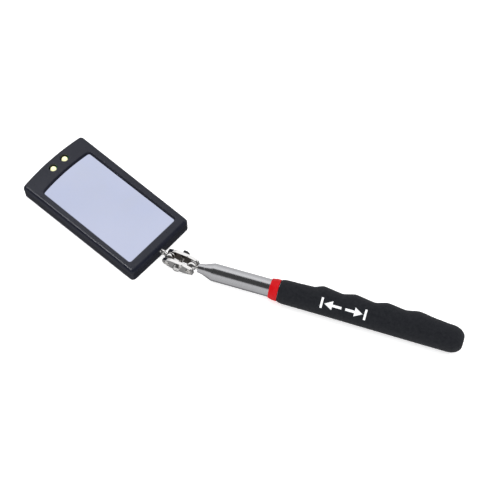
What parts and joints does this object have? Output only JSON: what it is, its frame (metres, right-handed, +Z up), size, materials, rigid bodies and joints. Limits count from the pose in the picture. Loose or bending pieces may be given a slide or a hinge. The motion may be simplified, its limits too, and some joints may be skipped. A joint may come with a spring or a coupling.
{
  "type": "telescoping inspection mirror",
  "caption": "Rectangular lighted inspection mirror on a double ball swivel, with a telescopic steel rod and a foam grip, shown collapsed.",
  "frame": {"origin": "middle of the flat back of the mirror head, on the surface that the tool lies on", "axes": "+X along the handle, from the head towards the end of the grip; +Z up, the way the mirror faces; +Y to the far side, where the grip's finger crests are"},
  "size_m": [0.2895, 0.0845, 0.0174],
  "materials": {
    "black_plastic": "semi-gloss moulded plastic",
    "grey_plastic": "moulded plastic",
    "mirror": "silvered glass",
    "foam_pad": "soft adhesive foam",
    "lamp": "cast lamp resin",
    "circuit_board": "green laminate",
    "coin_cell": "bright stamped steel",
    "spring_brass": "plain spring strip",
    "red_wire": "insulated wire",
    "black_wire": "insulated wire",
    "tube_steel": "fine drawn steel",
    "nickel": "bright nickel plate",
    "red_plastic": "moulded plastic",
    "grip_foam": "soft closed-cell foam",
    "black_steel": "blackened steel"
  },
  "bodies": {
    "handle": {"outer_tube": "tube_steel", "nose_bush": "grey_plastic", "end_plug": "grey_plastic", "red_collar": "red_plastic", "foam_grip": "grip_foam"},
    "section_1": {"section_1_tube": "tube_steel", "section_1_rear_bush": "spring_brass"},
    "section_2": {"section_2_tube": "tube_steel", "section_2_friction_sleeve": "spring_brass"},
    "section_3": {"section_3_tube": "tube_steel", "section_3_friction_sleeve": "spring_brass"},
    "section_4": {"section_4_tube": "tube_steel", "section_4_friction_sleeve": "spring_brass"},
    "rod_stud": {"rod_ball_stud": "nickel"},
    "rod_ball": {"rod_ball": "nickel"},
    "link": {"clamp_plate_near": "nickel", "clamp_plate_far": "nickel", "clamp_screw": "nickel", "clamp_nut": "black_steel", "lock_washer": "nickel"},
    "head_ball": {"head_ball": "nickel"},
    "head_stud": {"head_ball_stud": "nickel", "head_stud_nut": "nickel"},
    "head": {"head_front_bezel": "black_plastic", "head_rear_cover": "black_plastic", "case_screw_1": "black_steel", "case_screw_2": "black_steel", "case_screw_3": "black_steel", "case_screw_4": "black_steel", "mirror_glass": "mirror", "mirror_pad": "foam_pad", "led_lamp_1": "lamp", "led_lamp_2": "lamp", "led_circuit_board": "circuit_board", "coin_cell_1": "coin_cell", "coin_cell_2": "coin_cell", "battery_bridge": "spring_brass", "battery_contact_plus": "spring_brass", "battery_contact_minus": "spring_brass", "positive_wire": "red_wire", "negative_wire": "black_wire", "switch_body": "grey_plastic"},
    "switch": {"switch_knob": "grey_plastic"},
    "door": {"battery_door": "black_plastic"}
  },
  "joints": [
    {"name": "section_1_slide", "type": "slide", "parent": "handle", "child": "section_1", "axis": [-1, 0, 0], "range_m": [0, 0.142]},
    {"name": "section_2_slide", "type": "slide", "parent": "section_1", "child": "section_2", "axis": [-1, 0, 0], "range_m": [0, 0.147]},
    {"name": "section_3_slide", "type": "slide", "parent": "section_2", "child": "section_3", "axis": [-1, 0, 0], "range_m": [0, 0.145]},
    {"name": "section_4_slide", "type": "slide", "parent": "section_3", "child": "section_4", "axis": [-1, 0, 0], "range_m": [0, 0.142]},
    {"name": "rod_roll", "type": "hinge", "parent": "section_4", "child": "rod_stud", "pos_m": [0.0658, -0.02542, 0.00815], "axis": [1, 0, 0], "continuous": true},
    {"name": "rod_ball_yaw", "type": "hinge", "parent": "rod_stud", "child": "rod_ball", "pos_m": [0.0658, -0.02542, 0.00815], "axis": [0, 0, 1], "range_deg": [-1, 24]},
    {"name": "rod_ball_pitch", "type": "hinge", "parent": "rod_ball", "child": "link", "pos_m": [0.0658, -0.02542, 0.00815], "axis": [0.2063, 0.9785, 0], "range_deg": [-68, 85]},
    {"name": "head_ball_pitch", "type": "hinge", "parent": "link", "child": "head_ball", "pos_m": [0.05034, -0.02216, 0.0049], "axis": [-0.2063, -0.9785, 0], "range_deg": [-68, 85]},
    {"name": "head_ball_yaw", "type": "hinge", "parent": "head_ball", "child": "head_stud", "pos_m": [0.05034, -0.02216, 0.0049], "axis": [0, 0, 1], "range_deg": [0, 24]},
    {"name": "head_roll", "type": "hinge", "parent": "head_stud", "child": "head", "pos_m": [0.05034, -0.02216, 0.0049], "axis": [0.9152, -0.4029, 0], "continuous": true},
    {"name": "switch_slide", "type": "slide", "parent": "head", "child": "switch", "axis": [0.9152, -0.4029, 0], "range_m": [0, 0.003]},
    {"name": "battery_door_slide", "type": "slide", "parent": "head", "child": "door", "axis": [0.4029, 0.9152, 0], "range_m": [0, 0.045]}
  ]
}
